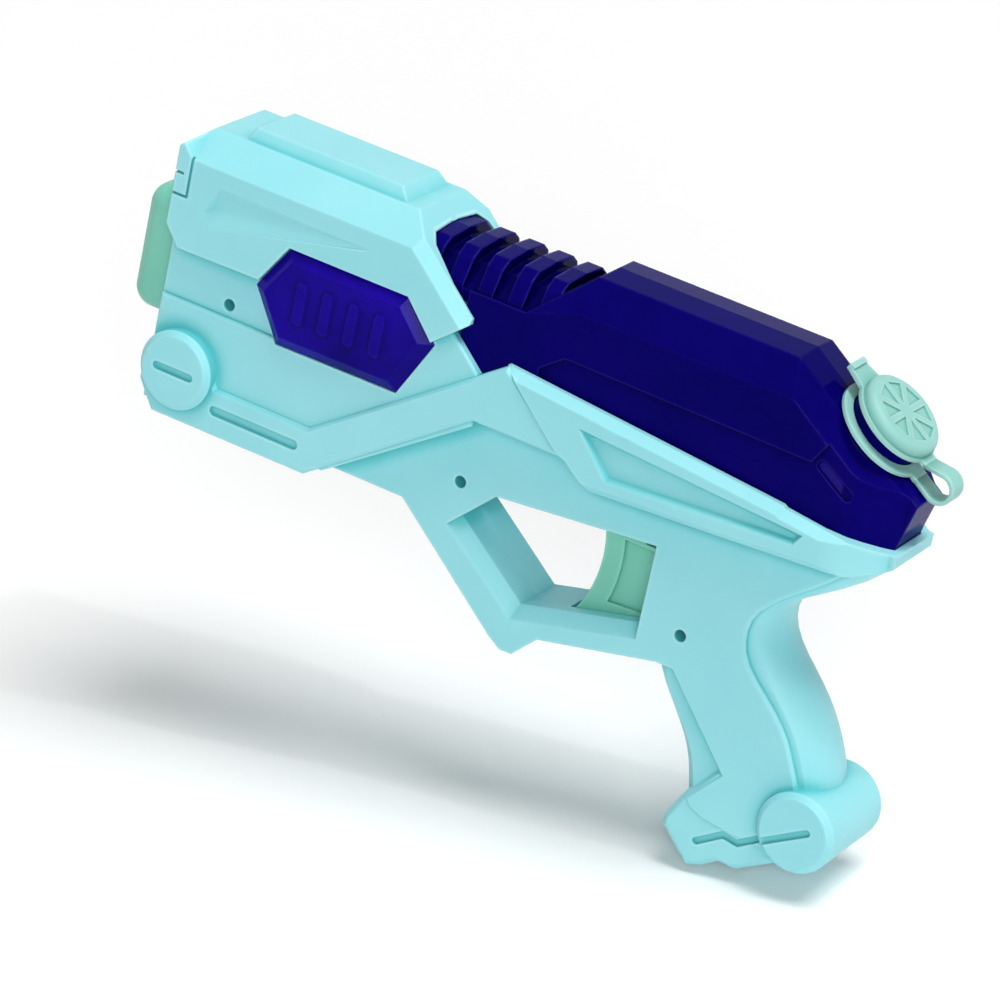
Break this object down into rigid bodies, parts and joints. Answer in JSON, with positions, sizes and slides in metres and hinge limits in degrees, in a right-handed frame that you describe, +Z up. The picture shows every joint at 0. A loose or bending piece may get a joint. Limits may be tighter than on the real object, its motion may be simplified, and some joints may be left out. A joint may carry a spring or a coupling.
{
  "type": "water squirter",
  "caption": "Toy water squirter: moulded two-half shell, clear tank with hinged filler cap, and a sliding trigger that works a piston pump to push water out of the muzzle nozzle.",
  "frame": {"origin": "middle of the length and width, at the lowest point of the grip foot", "axes": "+X from the muzzle to the tail, +Z up, the parting plane of the shells at Y = 0, left shell on -Y"},
  "size_m": [0.3109, 0.059, 0.1938],
  "materials": {
    "aqua_plastic": "satin moulded plastic",
    "mint_plastic": "satin moulded plastic",
    "cap_plastic": "soft flexible plastic",
    "pale_plastic": "satin moulded plastic",
    "violet_plastic": "glossy deep tinted plastic",
    "white_plastic": "natural moulded plastic",
    "tube_plastic": "soft clear tube",
    "seal_rubber": "soft black seal",
    "spring_steel": "drawn stainless wire",
    "ball_steel": "polished ball",
    "screw_steel": "plated screw"
  },
  "bodies": {
    "body": {"left_shell": "aqua_plastic", "right_shell": "aqua_plastic", "muzzle": "mint_plastic", "nozzle": "pale_plastic", "left_window": "violet_plastic", "right_window": "violet_plastic", "tank_left": "violet_plastic", "tank_right": "violet_plastic", "tank_grommet": "seal_rubber", "filler_neck": "violet_plastic", "cap_strap": "cap_plastic", "strap_ring": "cap_plastic", "return_spring": "spring_steel", "pump_cylinder": "white_plastic", "pump_collar": "white_plastic", "inlet_fitting": "white_plastic", "outlet_fitting": "white_plastic", "delivery_tube": "tube_plastic", "shell_screws": "screw_steel"},
    "trigger_group": {"trigger": "mint_plastic", "plunger": "white_plastic", "piston_seal": "seal_rubber"},
    "cap": {"filler_cap": "cap_plastic"},
    "inlet_valve": {"inlet_ball": "ball_steel"},
    "outlet_valve": {"outlet_ball": "ball_steel"}
  },
  "joints": [
    {"name": "trigger_slide", "type": "slide", "parent": "body", "child": "trigger_group", "axis": [1, 0, 0], "range_m": [0, 0.012], "stiffness_N_per_m": 400, "springref_m": -0.0075, "deforming": ["return_spring"]},
    {"name": "cap_hinge", "type": "hinge", "parent": "body", "child": "cap", "pos_m": [0.14965, 0, 0.16064], "axis": [0, 1, 0], "range_deg": [0, 150], "deforming": ["cap_strap"]},
    {"name": "inlet_lift", "type": "slide", "parent": "body", "child": "inlet_valve", "axis": [0, 0, 1], "range_m": [0, 0.0015]},
    {"name": "outlet_lift", "type": "slide", "parent": "body", "child": "outlet_valve", "axis": [0, 0, 1], "range_m": [0, 0.0015]}
  ]
}
